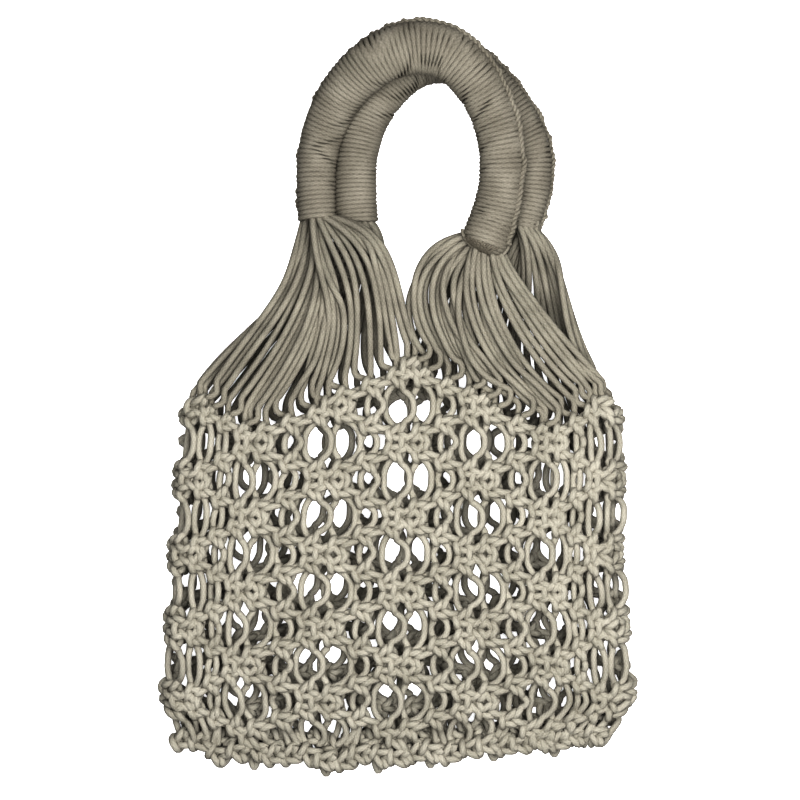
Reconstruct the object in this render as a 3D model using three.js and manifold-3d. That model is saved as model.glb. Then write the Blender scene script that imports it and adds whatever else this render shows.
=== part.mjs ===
// Macrame beach bag, lying flat: two wound handles, four bundles of bare cords, a knotted net tube
// pierced diamond by diamond, and the row of knots that closes its bottom.
// Millimetres. +Z is up from the surface it lies on, +Y points to the handles, +X is to the right.
import * as THREE from 'three';
import Module from 'manifold-3d';

const wasm = await Module();
wasm.setup();

// Driving dimensions
const CORD = 4; // diameter of the cotton cord that everything is knotted from
const SEAT_GAP = 0.4; // clearance between pieces that meet
const EDGE_GAP = 0.6; // the same along the net's slanting top edge
const STRANDS = 96; // cords round the net, 24 from each end of the two handles
const STRANDS_PER_FACE = STRANDS / 2; // from the middle of the front round to the middle of the back
const STRANDS_PER_COLUMN = 8; // half the width of one diamond, counted in cords
const COLUMNS = STRANDS / STRANDS_PER_COLUMN; // half diamonds round the net
const BOTTOM_ROW = 10; // half diamonds from the peak of the net down to its closed bottom
const ROW_PITCH = 26; // height of half a diamond
const PEAK_Y = 23; // where the net starts, in the middle of the front
const BACK_RISE = 0.02; // share by which the back net lies shorter than the front
const NET_WALL = 9.2; // thickness of the net through its knots
const KNOT_RISE = 4.2; // half the height of a knot, which the top edge stands above the knots' line
const SAME = 1e-6; // two places closer than this are one

// The flattened tube of the net, row by row: middle of the wall to middle of the wall. Centre is the
// middle of its outline, and lattice the middle of the front's pattern, which lies a little askew.
const NET_SECTIONS = [
  { row: 0, halfWidth: 146, depth: 22, centre: 2.5, lattice: 10 },
  { row: 2, halfWidth: 152.5, depth: 23, centre: 2, lattice: 9 },
  { row: 5, halfWidth: 154, depth: 23, centre: -2, lattice: 5 },
  { row: 8, halfWidth: 159.5, depth: 20, centre: -0.5, lattice: 2 },
  { row: 9, halfWidth: 162.5, depth: 16, centre: 0, lattice: 1 },
  { row: 10, halfWidth: 152, depth: 10.4, centre: -4, lattice: 0 },
];

// Top edge of the net: the row where the knots start, by column from the middle of the front
const TOP_EDGE = [
  { column: 0, row: 0 },
  { column: 2, row: 2 },
  { column: 3, row: 1 },
  { column: 4, row: 2 },
  { column: 6, row: 0 },
];

// One gap of a diamond. Across runs from the diamond's middle to its side corner, down from its middle
// to its lower corner, and both corners lie at 1. Half is half the wall's thickness at that place.
const GAP_OUTLINE = [
  { across: 0.06, down: -0.46, half: 2.4 },
  { across: 0.26, down: -0.36, half: 3.4 },
  { across: 0.4, down: -0.1, half: 3.4 },
  { across: 0.4, down: 0.1, half: 3.4 },
  { across: 0.26, down: 0.36, half: 3.4 },
  { across: 0.06, down: 0.46, half: 2.4 },
];

// The gap of a half diamond, which the bottom row cuts off
const HALF_GAP_OUTLINE = [
  { across: 0.06, down: -0.46, half: 2.4 },
  { across: 0.26, down: -0.36, half: 3.4 },
  { across: 0.38, down: -0.2, half: 3.4 },
  { across: 0.06, down: -0.12, half: 2.4 },
];

// The knots down one side of a diamond, from its top over its side corner to its foot
const KNOTS_PER_SIDE = 4;
const SIDE_KNOTS = Array.from({ length: 2 * KNOTS_PER_SIDE + 1 }, (unused, knot) => {
  const down = knot / KNOTS_PER_SIDE - 1;
  return { across: 1 - Math.abs(down), down };
});
const HALF_SIDE_KNOTS = [...SIDE_KNOTS.slice(0, KNOTS_PER_SIDE + 1), { across: 0, down: 0 }];

// Handles: stations along the middle of the grip from its left end over the crown to its right end.
// Width lies flat and depth stands up. Ridge is the angle of the raised spine above the flat, in degrees.
const HANDLE_FRONT = [
  { x: -56, y: 129, z: 20.5, width: 27.6, depth: 27.6, ridge: 0 },
  { x: -58, y: 154, z: 20.5, width: 27.8, depth: 27.8, ridge: 0 },
  { x: -56, y: 178, z: 22, width: 29, depth: 28.5, ridge: 5 },
  { x: -48, y: 203, z: 29, width: 31, depth: 29, ridge: 10 },
  { x: -34, y: 225, z: 38, width: 34, depth: 30, ridge: 12 },
  { x: -13, y: 240.5, z: 46, width: 36.5, depth: 30, ridge: 12 },
  { x: 11, y: 245, z: 47.5, width: 37, depth: 30, ridge: 12 },
  { x: 33, y: 241, z: 47.5, width: 36, depth: 30, ridge: 15 },
  { x: 51, y: 227.5, z: 46, width: 34, depth: 30, ridge: 18 },
  { x: 64.5, y: 205, z: 41, width: 32.5, depth: 29.5, ridge: 22 },
  { x: 72.5, y: 178, z: 38, width: 32, depth: 29, ridge: 25 },
  { x: 72.5, y: 151, z: 35, width: 31.5, depth: 28.5, ridge: 25 },
  { x: 68, y: 130, z: 31.8, width: 31, depth: 28, ridge: 22 },
  { x: 62, y: 114.5, z: 31.8, width: 30, depth: 27.6, ridge: 20 },
];
const HANDLE_BACK = [
  { x: -27.5, y: 129, z: 14.4, width: 27.6, depth: 27.6, ridge: -50 },
  { x: -28.5, y: 154, z: 14.6, width: 27.8, depth: 28, ridge: -50 },
  { x: -26.5, y: 177, z: 15, width: 29, depth: 28.5, ridge: -45 },
  { x: -19.5, y: 200, z: 15.4, width: 31, depth: 29.5, ridge: -35 },
  { x: -7, y: 221, z: 15.8, width: 34, depth: 30, ridge: -20 },
  { x: 11, y: 236, z: 16, width: 36, depth: 30, ridge: -10 },
  { x: 32, y: 240.5, z: 16, width: 36, depth: 30, ridge: 0 },
  { x: 54, y: 236, z: 16, width: 35, depth: 30, ridge: 0 },
  { x: 73, y: 222, z: 15.8, width: 33, depth: 30, ridge: 0 },
  { x: 87, y: 202, z: 15.4, width: 31, depth: 29, ridge: 0 },
  { x: 95, y: 177, z: 15, width: 29, depth: 28, ridge: 0 },
  { x: 95.5, y: 152, z: 14.6, width: 28, depth: 27.6, ridge: 0 },
  { x: 92, y: 122, z: 14.4, width: 27.6, depth: 27.6, ridge: 0 },
];
const HANDLE_STEPS = 34; // sections along each grip
const HANDLE_SIDES = 16; // corners round each grip
const RIDGE_RISE = 2.4; // how far the spine of half hitches stands out

// Bundles of bare cords. From and to are the cords at the bundle's left and right edge. Each edge leaves
// the handle towards its point near the handle, and reaches the net from a point set off from its end.
const BUNDLES = [
  {
    name: 'strands_front_left', handle: 'front', end: 'left', from: -20, to: -0.4, lift: 8,
    near: [{ x: -70, y: 94 }, { x: -38, y: 94 }], off: [{ x: 23, y: 46 }, { x: -9, y: 43 }],
  },
  {
    name: 'strands_front_right', handle: 'front', end: 'right', from: 0.4, to: 20, lift: 4,
    near: [{ x: 12, y: 111 }, { x: 86, y: 89 }], off: [{ x: -10, y: 43 }, { x: -12, y: 49 }],
  },
  {
    name: 'strands_back_left', handle: 'back', end: 'left', from: -28, to: -47.6, lift: -1,
    near: [{ x: -38, y: 96 }, { x: -6, y: 108 }], off: [{ x: 28, y: 42 }, { x: 6, y: 43 }],
  },
  {
    name: 'strands_back_right', handle: 'back', end: 'right', from: 47.6, to: 28, lift: -1,
    near: [{ x: 51, y: 98 }, { x: 99, y: 98 }], off: [{ x: 9, y: 43 }, { x: -8, y: 52 }],
  },
];
const BUNDLE_RIBS = 12; // raised ribs across a bundle, each a pair of cords
const BUNDLE_STEPS = 8; // sections along a bundle
const BUNDLE_INSET = 1.5; // how far the bundle lies inside the handle's rim where it leaves it
const BUNDLE_EDGE = 1.6; // half the thickness at the bundle's two edges
const BUNDLE_SHEET = 2.3; // half the thickness where the cords lie side by side, at the net
const BUNDLE_SETTLE = 0.34; // share of the way by which the cords lie at the net's height
const RIB_RISE = 0.6; // half the difference between a rib's crest and the groove beside it

// Row of closing knots
const CLOSING_KNOTS = 24;
const CLOSING_SIDES = 8;
const CLOSING_RADIUS = 6.2; // at the middle of a knot
const CLOSING_WAIST = 4.8; // between two knots
const CLOSING_LOOPS = [
  { x: -101, drop: 9, spread: 4 },
  { x: -50, drop: 15, spread: 5 },
  { x: -13, drop: 9, spread: 4 },
  { x: 24, drop: 8, spread: 4 },
  { x: 69, drop: 7, spread: 4 },
  { x: 112, drop: 9, spread: 5 },
];
const LOOP_STEPS = 8;
const LOOP_SIDES = 6;

const COTTON = { front: 0xb5ab98, back: 0x9c9382, handle: 0xa89f8c };

const UP = new THREE.Vector3(0, 0, 1);

function smoothStep(share) {
  const held = THREE.MathUtils.clamp(share, 0, 1);
  return held * held * (3 - 2 * held);
}

// Reads a column of a table at a place between two of its rows, on a straight line between them
function fromTable(table, key, place, column) {
  const last = table.length - 1;
  const after = table.findIndex((entry) => entry[key] >= place);
  if (after === 0) return table[0][column];
  if (after < 0) return table[last][column];
  const [low, high] = [table[after - 1], table[after]];
  return THREE.MathUtils.mapLinear(place, low[key], high[key], low[column], high[column]);
}

function topRow(strand) {
  return fromTable(TOP_EDGE, 'column', Math.abs(strand) / STRANDS_PER_COLUMN, 'row');
}

// A place on the net: its cord number, counted round from the middle of the front, its row, and how far
// it stands out from the middle of the wall. The tube's section is two straight runs and two half circles.
function netPoint(strand, row, offset, raise = 0) {
  const depth = fromTable(NET_SECTIONS, 'row', row, 'depth');
  const centre = fromTable(NET_SECTIONS, 'row', row, 'centre');
  const shift = fromTable(NET_SECTIONS, 'row', row, 'lattice') - centre;
  const radius = depth / 2;
  const straight = fromTable(NET_SECTIONS, 'row', row, 'halfWidth') - radius;
  const halfRound = 2 * straight + Math.PI * radius;
  const nearMiddle = Math.max(0, 1 - Math.abs(strand) / STRANDS_PER_FACE * 2);
  const way = halfRound * strand / STRANDS_PER_FACE + shift * nearMiddle;
  const side = Math.sign(way);
  const turn = THREE.MathUtils.clamp((Math.abs(way) - straight) / radius, 0, Math.PI);
  const run = Math.abs(way) - radius * turn;
  const along = turn < Math.PI ? run : 2 * straight - run;
  const [outX, outZ] = [Math.sin(turn), Math.cos(turn)];
  const backness = (1 - outZ) / 2;
  return new THREE.Vector3(
    centre + side * (along + (radius + offset) * outX),
    PEAK_Y + raise - ROW_PITCH * row * (1 - BACK_RISE * backness),
    NET_WALL / 2 + radius + (radius + offset) * outZ,
  );
}

// The net's top edge, straight from one knot to the next, at a distance out from the middle of the wall
function edgePoint(strand, offset) {
  const step = STRANDS_PER_COLUMN / KNOTS_PER_SIDE;
  const low = Math.floor(strand / step) * step;
  const [start, end] = [low, low + step].map((knot) => (
    netPoint(knot, topRow(knot), offset, KNOT_RISE + EDGE_GAP)
  ));
  return start.lerp(end, (strand - low) / step);
}

function geometryFrom(points, triangles) {
  const geometry = new THREE.BufferGeometry().setFromPoints(points);
  geometry.setIndex(triangles.flat());
  geometry.computeVertexNormals();
  return geometry;
}

// Closes a sheet into a wall: its outer face, its inner face turned over, and a strip along each free edge
function wallBetween(outer, inner, faces) {
  const count = outer.length;
  const edges = new Set(faces.flatMap(([a, b, c]) => [`${a} ${b}`, `${b} ${c}`, `${c} ${a}`]));
  const strips = [...edges]
    .map((edge) => edge.split(' ').map(Number))
    .filter(([a, b]) => !edges.has(`${b} ${a}`))
    .flatMap(([a, b]) => [[b, a, a + count], [b, a + count, b + count]]);
  const under = faces.map(([a, b, c]) => [a + count, c + count, b + count]);
  return geometryFrom([...outer, ...inner], [...faces, ...under, ...strips]);
}

// Carries closed rings of points along a path and shuts both ends with a fan of triangles
function loft(rings) {
  const sides = rings[0].length;
  const points = rings.flat();
  const triangles = [];
  for (let ring = 0; ring + 1 < rings.length; ring += 1) {
    for (let corner = 0; corner < sides; corner += 1) {
      const next = (corner + 1) % sides;
      const [a, b] = [ring * sides + corner, ring * sides + next];
      triangles.push([a, b, b + sides], [a, b + sides, a + sides]);
    }
  }
  const lastRing = (rings.length - 1) * sides;
  for (let corner = 1; corner + 1 < sides; corner += 1) {
    triangles.push([0, corner + 1, corner]);
    triangles.push([lastRing, lastRing + corner, lastRing + corner + 1]);
  }
  return geometryFrom(points, triangles);
}

// Middle line of a handle, with its flat outward direction and its size at any share of its length
function handlePath(stations) {
  const curve = new THREE.CatmullRomCurve3(
    stations.map(({ x, y, z }) => new THREE.Vector3(x, y, z)), false, 'centripetal',
  );
  const numbered = stations.map((station, index) => ({ ...station, index }));
  return (share) => {
    const at = curve.getUtoTmapping(share) * (stations.length - 1);
    const tangent = curve.getTangentAt(share);
    const out = new THREE.Vector3().crossVectors(UP, tangent).normalize();
    const size = (column) => fromTable(numbered, 'index', at, column);
    return {
      middle: curve.getPointAt(share),
      tangent,
      out,
      up: new THREE.Vector3().crossVectors(tangent, out),
      width: size('width'),
      depth: size('depth'),
      ridge: THREE.MathUtils.degToRad(size('ridge')),
    };
  };
}

// A grip: an oval section carried along the horseshoe, with one corner raised as the spine
function handleGeometry(stations) {
  const path = handlePath(stations);
  const rings = [];
  for (let step = 0; step <= HANDLE_STEPS; step += 1) {
    const { middle, out, up, width, depth, ridge } = path(step / HANDLE_STEPS);
    const ring = [];
    for (let corner = 0; corner < HANDLE_SIDES; corner += 1) {
      const angle = ridge + (corner * 2 * Math.PI) / HANDLE_SIDES;
      const rise = corner === 0 ? RIDGE_RISE : 0;
      ring.push(
        middle.clone()
          .addScaledVector(out, Math.cos(angle) * (width / 2 + rise))
          .addScaledVector(up, Math.sin(angle) * (depth / 2 + rise)),
      );
    }
    rings.push(ring);
  }
  return loft(rings);
}

// A bundle: each cord bends from its place at the handle's end to its knot on the net's top edge, and the
// sheet of cords thins from a round bunch to one layer, with a rib for each pair
function bundleGeometry({ handle, end, from, to, lift, near, off }) {
  const stations = handle === 'front' ? HANDLE_FRONT : HANDLE_BACK;
  const { middle, tangent, out, width, depth } = handlePath(stations)(end === 'left' ? 0 : 1);
  const outward = end === 'left' ? -1 : 1;
  const start = middle.clone().addScaledVector(tangent, outward * SEAT_GAP);
  const across = out.clone().multiplyScalar(outward);
  const [outer, inner, faces] = [[], [], []];
  const samples = 2 * BUNDLE_RIBS;
  for (let step = 0; step <= BUNDLE_STEPS; step += 1) {
    const along = step / BUNDLE_STEPS;
    for (let sample = 0; sample <= samples; sample += 1) {
      const share = sample / samples;
      const strand = THREE.MathUtils.lerp(from, to, share);
      const leave = start.clone().addScaledVector(across, (2 * share - 1) * (width / 2 - BUNDLE_INSET));
      const meet = edgePoint(strand, 0);
      const facing = edgePoint(strand, handle === 'front' ? 1 : -1).sub(meet);
      const bend = new THREE.CubicBezierCurve(
        new THREE.Vector2(leave.x, leave.y),
        new THREE.Vector2(
          THREE.MathUtils.lerp(near[0].x, near[1].x, share),
          THREE.MathUtils.lerp(near[0].y, near[1].y, share),
        ),
        new THREE.Vector2(
          meet.x + THREE.MathUtils.lerp(off[0].x, off[1].x, share),
          meet.y + THREE.MathUtils.lerp(off[0].y, off[1].y, share),
        ),
        new THREE.Vector2(meet.x, meet.y),
      );
      const { x, y } = bend.getPoint(along);
      const settle = smoothStep(along / BUNDLE_SETTLE);
      const z = THREE.MathUtils.lerp(leave.z, meet.z, settle) + lift * Math.sin(Math.PI * along);
      const crown = depth / 2 - BUNDLE_INSET - BUNDLE_EDGE;
      const bunch = BUNDLE_EDGE + crown * Math.sqrt(4 * share * (1 - share));
      const rib = sample % 2 === 1 ? RIB_RISE : -RIB_RISE;
      const half = THREE.MathUtils.lerp(bunch, BUNDLE_SHEET, settle) + rib;
      const thick = UP.clone().lerp(facing, smoothStep(2 * along - 1)).multiplyScalar(half);
      outer.push(new THREE.Vector3(x, y, z).add(thick));
      inner.push(new THREE.Vector3(x, y, z).sub(thick));
      if (step > 0 && sample > 0) {
        const corner = outer.length - 1;
        const above = corner - samples - 1;
        faces.push([above - 1, corner - 1, corner], [above - 1, corner, above]);
      }
    }
  }
  return wallBetween(outer, inner, faces);
}

// Fills the strip between two chains of corners that both run downwards, a triangle at a time
function zipped(rim, gap) {
  const triangles = [];
  let [r, g] = [0, 0];
  while (r + 1 < rim.length || g + 1 < gap.length) {
    const rimIsNext = g + 1 === gap.length || (r + 1 < rim.length && rim[r + 1].down <= gap[g + 1].down);
    if (rimIsNext) {
      triangles.push([rim[r].index, rim[r + 1].index, gap[g].index]);
      r += 1;
    } else {
      triangles.push([rim[r].index, gap[g + 1].index, gap[g].index]);
      g += 1;
    }
  }
  return triangles;
}

// The net: one wall round the flattened tube, built diamond by diamond. A full diamond has a gap on each
// side of its middle cords, and the bottom row cuts every second column's last diamond in half.
function netGeometry() {
  const [outer, inner, faces] = [[], [], []];
  const known = new Map();

  const place = (column, row, half = NET_WALL / 2) => {
    const strand = THREE.MathUtils.euclideanModulo(column * STRANDS_PER_COLUMN + STRANDS / 2, STRANDS)
      - STRANDS / 2;
    const key = `${strand.toFixed(3)} ${row.toFixed(3)}`;
    if (!known.has(key)) {
      known.set(key, outer.length);
      const raise = Math.abs(row - topRow(strand)) < SAME ? KNOT_RISE : 0;
      const lies = netPoint(strand, row, 0).z < NET_WALL / 2 + SAME;
      outer.push(netPoint(strand, row, lies ? NET_WALL / 2 : half, raise));
      inner.push(netPoint(strand, row, -half, raise));
    }
    return known.get(key);
  };

  const diamond = (column, row, isHalf) => {
    const outline = isHalf ? HALF_GAP_OUTLINE : GAP_OUTLINE;
    const knots = isHalf ? HALF_SIDE_KNOTS : SIDE_KNOTS;
    const chains = [-1, 1].map((side) => {
      const corners = (list) => list.map(({ across, down, half = NET_WALL / 2 }) => ({
        index: place(column + side * across, row + down, half), down,
      }));
      const [rim, gap] = [corners(knots), corners(outline)];
      const strip = zipped(rim, gap);
      faces.push(...strip.map(([a, b, c]) => (side < 0 ? [a, b, c] : [a, c, b])));
      return gap.map(({ index }) => index);
    });
    const last = outline.length - 1;
    const [left, right] = chains;
    const [top, foot] = [place(column, row - 1), place(column, row + (isHalf ? 0 : 1))];
    faces.push([top, left[0], right[0]], [left[0], left[last], right[last]],
      [left[0], right[last], right[0]], [left[last], foot, right[last]]);
  };

  for (let column = -COLUMNS / 2; column < COLUMNS / 2; column += 1) {
    const first = topRow(column * STRANDS_PER_COLUMN) + 1;
    for (let row = first; row <= BOTTOM_ROW; row += 2) diamond(column, row, row === BOTTOM_ROW);
  }
  return wallBetween(outer, inner, faces);
}

function solidFrom(geometry) {
  return new wasm.Manifold(new wasm.Mesh({
    numProp: 3,
    vertProperties: geometry.getAttribute('position').array,
    triVerts: new Uint32Array(geometry.getIndex().array),
  }));
}

function geometryOf(solid) {
  const { vertProperties, triVerts } = solid.getMesh();
  const geometry = new THREE.BufferGeometry();
  geometry.setAttribute('position', new THREE.BufferAttribute(vertProperties, 3));
  geometry.setIndex(new THREE.BufferAttribute(triVerts, 1));
  geometry.computeVertexNormals();
  return geometry;
}

// A round cord along a flat curve, from a radius for each share of its length
function roundCord(curve, steps, sides, radiusAt) {
  const rings = [];
  for (let step = 0; step <= steps; step += 1) {
    const share = step / steps;
    const middle = curve.getPointAt(share);
    const out = new THREE.Vector3().crossVectors(UP, curve.getTangentAt(share)).normalize();
    const ring = [];
    for (let corner = 0; corner < sides; corner += 1) {
      const angle = (corner * 2 * Math.PI) / sides;
      ring.push(
        middle.clone()
          .addScaledVector(out, Math.cos(angle) * radiusAt(share))
          .addScaledVector(UP, Math.sin(angle) * radiusAt(share)),
      );
    }
    rings.push(ring);
  }
  return loft(rings);
}

// The closing row: a lumpy bar, one swelling for each knot, with short loops hanging from it
function bottomRowGeometry() {
  const [left, right] = [-1, 1].map((side) => netPoint(side * STRANDS_PER_FACE / 2, BOTTOM_ROW, 0));
  const y = netPoint(0, BOTTOM_ROW, 0).y - CLOSING_RADIUS - SEAT_GAP;
  const { z } = left;
  const bar = new THREE.LineCurve3(left.setY(y), right.setY(y));
  const swelling = (share) => THREE.MathUtils.lerp(
    CLOSING_WAIST, CLOSING_RADIUS, Math.abs(Math.sin(Math.PI * CLOSING_KNOTS * share)),
  );
  let row = solidFrom(roundCord(bar, 2 * CLOSING_KNOTS, CLOSING_SIDES, swelling));
  for (const { x, drop, spread } of CLOSING_LOOPS) {
    const low = y - CLOSING_WAIST - drop;
    const loop = new THREE.CatmullRomCurve3([
      new THREE.Vector3(x - spread, y, z),
      new THREE.Vector3(x - spread, (y + low) / 2, z),
      new THREE.Vector3(x, low, z),
      new THREE.Vector3(x + spread, (y + low) / 2, z),
      new THREE.Vector3(x + spread, y, z),
    ]);
    row = row.add(solidFrom(roundCord(loop, LOOP_STEPS, LOOP_SIDES, () => CORD / 2)));
  }
  return geometryOf(row);
}

function piece(name, geometry, color) {
  const mesh = new THREE.Mesh(
    geometry,
    new THREE.MeshStandardMaterial({ color, roughness: 0.92, metalness: 0 }),
  );
  mesh.name = name;
  return mesh;
}

const bag = new THREE.Group();
bag.add(piece('handle_front', handleGeometry(HANDLE_FRONT), COTTON.handle));
bag.add(piece('handle_back', handleGeometry(HANDLE_BACK), COTTON.handle));
for (const bundle of BUNDLES) {
  bag.add(piece(bundle.name, bundleGeometry(bundle), COTTON[bundle.handle]));
}
bag.add(piece('net', netGeometry(), COTTON.front));
bag.add(piece('bottom_row', bottomRowGeometry(), COTTON.front));

export default bag;
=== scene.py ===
"""Looks of a macrame beach bag that lies flat: cords, knots, wound grips, studio light and camera."""

import bpy
import numpy as np
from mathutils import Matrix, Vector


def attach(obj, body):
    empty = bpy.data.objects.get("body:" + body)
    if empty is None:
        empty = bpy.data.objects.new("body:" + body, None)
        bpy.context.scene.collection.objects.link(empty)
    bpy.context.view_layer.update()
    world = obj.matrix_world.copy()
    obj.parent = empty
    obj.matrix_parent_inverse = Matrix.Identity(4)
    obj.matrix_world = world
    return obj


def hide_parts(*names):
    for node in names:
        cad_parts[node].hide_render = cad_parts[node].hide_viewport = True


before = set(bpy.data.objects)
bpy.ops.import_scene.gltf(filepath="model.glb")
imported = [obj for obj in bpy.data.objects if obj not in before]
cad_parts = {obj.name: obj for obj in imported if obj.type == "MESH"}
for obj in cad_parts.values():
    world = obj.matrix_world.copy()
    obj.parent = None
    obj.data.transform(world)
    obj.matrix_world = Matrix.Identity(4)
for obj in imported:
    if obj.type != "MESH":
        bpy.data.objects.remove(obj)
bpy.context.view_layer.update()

# Sizes are in millimetres and angles in degrees unless a comment says otherwise
MM = 0.001
CORD = 4.2
CORD_RADIUS = CORD / 2
CORD_SIDES = 8
SEED = 11
UP = np.array([0.0, 0.0, 1.0])
ACROSS = np.array([1.0, 0.0, 0.0])
# A cord that starts more steeply than this takes its first side axis from ACROSS instead of UP
STEEP = 0.9
# Added to a distance before something is divided by it
TINY = 1e-6
# Curve points from one key to the next: along cords, handles, closing knots and loops
CORD_STEPS = 6
HANDLE_STEPS = 24
KNOT_STEPS = 6
LOOP_STEPS = 8
# Share of its row in the bake map that a cord leaves free on each side, and radius of an end cap in its cell
BAKE_MARGIN = 0.06
BAKE_FILL = 1 - 2 * BAKE_MARGIN
CAP_SHARE = 0.4
# Lowest middle line of a cord on the ground, with room for its bends
GROUND_REST = 2.9

# The net: 96 cords round a flattened tube, knotted in diamonds. Every two cords make a column of knots. A
# diamond is DIAMOND columns wide and as many rows of knots high. Rows that are not rows of knots are rows of
# half diamonds, each KNOT_ROWS_PER_ROW rows of knots high.
STRANDS = 96
STRANDS_PER_FACE = STRANDS // 2
STRANDS_PER_BUNDLE = STRANDS // 4
COLUMNS = STRANDS // 2
DIAMOND = 8
LAST_KNOT_ROW = 40
KNOT_ROWS_PER_ROW = 4
ROW_PITCH = 26.0
PEAK_Y = 23.0
NET_WALL = 9.2
STRAND_PITCH = 6.7
BACK_SHIFT = 3.3
NET_RINGS = 350

# The net's section by row: half its width, the depth between the middles of its walls, where its middle and
# the lattice's middle lie across, and how much higher the back lies than the front
NET_SECTIONS = np.array(
    [
        (0, 146.0, 22.0, 2.5, 10.0, -11.0),
        (2, 152.5, 23.0, 2.0, 9.0, 1.0),
        (5, 154.0, 23.0, -2.0, 5.0, 4.0),
        (8, 159.5, 20.0, -0.5, 2.0, 9.0),
        (9, 162.5, 16.0, 0.0, 1.0, 11.5),
        (10, 152.0, 10.4, -4.0, 0.0, 13.0),
        (10.25, 152.0, 10.4, -4.0, 0.0, 4.0),
    ],
    dtype=[
        ("row", float), ("half_width", float), ("depth", float), ("centre", float), ("lattice", float),
        ("back_rise", float),
    ],
)

# Share of the way from the middle of the front to the middle of the back, by cord number
SPREAD = np.array(
    [(0, 0.0), (16, 0.332), (24, 0.447), (48, 1.0), (56, 1.18)],
    dtype=[("strand", float), ("share", float)],
)

# A square knot: the way of each cord through its upper half, in millimetres across, down and out
LEFT_WORKER_HALF = [
    (-6.4, -5.2, 0.0), (-5.6, -2.4, -0.4), (-4.2, -0.8, 0.4), (-2.3, -1.6, 2.4),
    (0.2, -2.8, 3.2), (2.7, -3.8, 2.4), (4.5, -3.8, 0.4), (5.4, -2.2, -0.8),
]
RIGHT_WORKER_HALF = [
    (7.2, -5.2, 1.4), (5.3, -3.2, 3.4), (3.5, -1.5, 3.2), (1.7, -0.9, 0.9), (0.2, -0.9, -2.4),
    (-2.2, -1.8, -3.0), (-3.9, -3.3, -1.6), (-4.9, -3.2, 1.4), (-5.2, -1.7, 3.4),
]
FILLER_HALF = [(1.45, -2.8, -0.3)]
KNOT_STRETCH = (1.08, 1.24, 1.55)
KNOT_RADIUS = 2.5
FREE_RADIUS = 2.4


def mirrored_down(half, turning_point):
    """A cord's way through a knot: down to the turning point, and the same way on below it."""
    upper = np.array(half)
    return np.vstack([upper, turning_point, upper[::-1] * (1, -1, 1)]) * KNOT_STRETCH


LEFT_WORKER = mirrored_down(LEFT_WORKER_HALF, turning_point=(5.7, 0.0, -1.0))
RIGHT_WORKER = mirrored_down(RIGHT_WORKER_HALF, turning_point=(-5.2, 0.0, 3.9))
RIGHT_FILLER = mirrored_down(FILLER_HALF, turning_point=(1.45, 0.0, 0.0))
LEFT_FILLER = RIGHT_FILLER * (-1, 1, 1)

# How knots lean on the slanting lines, are drawn to a crossing and stretched at it, and how much they differ
KNOT_LEAN = 22.0
KNOT_GATHER = 4.2
CROSSING_STRETCH = 1.35
CROSSING_STEP = DIAMOND // 2
KNOT_TILT = 7.0
KNOT_SLIP = 0.7

# How far a free cord bows sideways between two knots, as a share of its length, and how far it lifts.
# The two cords that leave a knot together bow apart, and the ones that bow to the right lie in front.
BOWS = {
    "right_worker": (0.30, 1.5),
    "left_worker": (-0.16, -1.5),
    "right_filler": (-0.22, -1.5),
    "left_filler": (0.31, 1.5),
}
BOW_SPREAD = 0.25
BOW_SHARES = np.array([0.1, 0.3, 0.5, 0.7, 0.9])
BOW_FULLNESS = 2.9
# Two knots this many rows of knots apart, or fewer, have no free cord between them
SHORT_SPAN = 2
# How near to a side fold a cord is changed, counted in cords, and how much less it bows and more it lifts
FOLD_STRAND = STRANDS_PER_FACE / 2
FOLD_REACH = 8.0
FOLD_FADE = 4.0
FOLD_STRAIGHT = 0.45
FOLD_LIFT = 3.0

# Grips: stations along the middle of each handle, the oval's size and the angle of its spine
STATION = [("x", float), ("y", float), ("z", float), ("width", float), ("depth", float), ("ridge", float)]
WIDTH, DEPTH, RIDGE = (3, 4, 5)
HANDLES = {
    "front": np.array(
        [
            (-55.7, 129, 20.5, 27.6, 27.6, -25), (-56.5, 154, 20.5, 27.8, 27.8, -25),
            (-54.5, 178, 22, 29, 28.5, -25), (-45, 203, 29, 31, 29, -20),
            (-30.5, 222.5, 38, 34, 30, -25), (-9.5, 237.5, 46, 36.5, 30, -18), (14, 243.7, 47.5, 37, 30, 8),
            (33, 240.6, 47.5, 37.5, 30, 15), (50.3, 227, 46, 35.5, 30, 18),
            (64.5, 205, 41, 32.5, 29.5, 22), (72.5, 178, 38, 32, 29, 25), (72.5, 151, 35, 31.5, 28.5, 25),
            (68, 130, 31.8, 32.5, 28, 22), (62.5, 114.5, 31.8, 33.5, 27.6, 20),
        ],
        dtype=STATION,
    ),
    "back": np.array(
        [
            (-28.5, 127, 14.4, 31.5, 27.6, -50), (-29.2, 152, 14.6, 30.6, 28, -50),
            (-27.4, 177, 15, 29.8, 28.5, -45), (-20.5, 200, 15.4, 31, 29.5, -35),
            (-7, 221.5, 15.8, 33.5, 30, -20), (11, 237, 16, 34.5, 30, -10), (32, 241.5, 16, 34, 30, 0),
            (51.5, 235, 16, 33.5, 30, 0), (69, 219, 15.8, 33, 30, 0), (84, 200, 15.4, 31, 29, 0),
            (95, 177, 15, 29, 28, 0), (95.5, 152, 14.6, 28, 27.6, 0), (89.5, 122, 14.4, 22.5, 25, 0),
        ],
        dtype=STATION,
    ),
}
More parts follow.
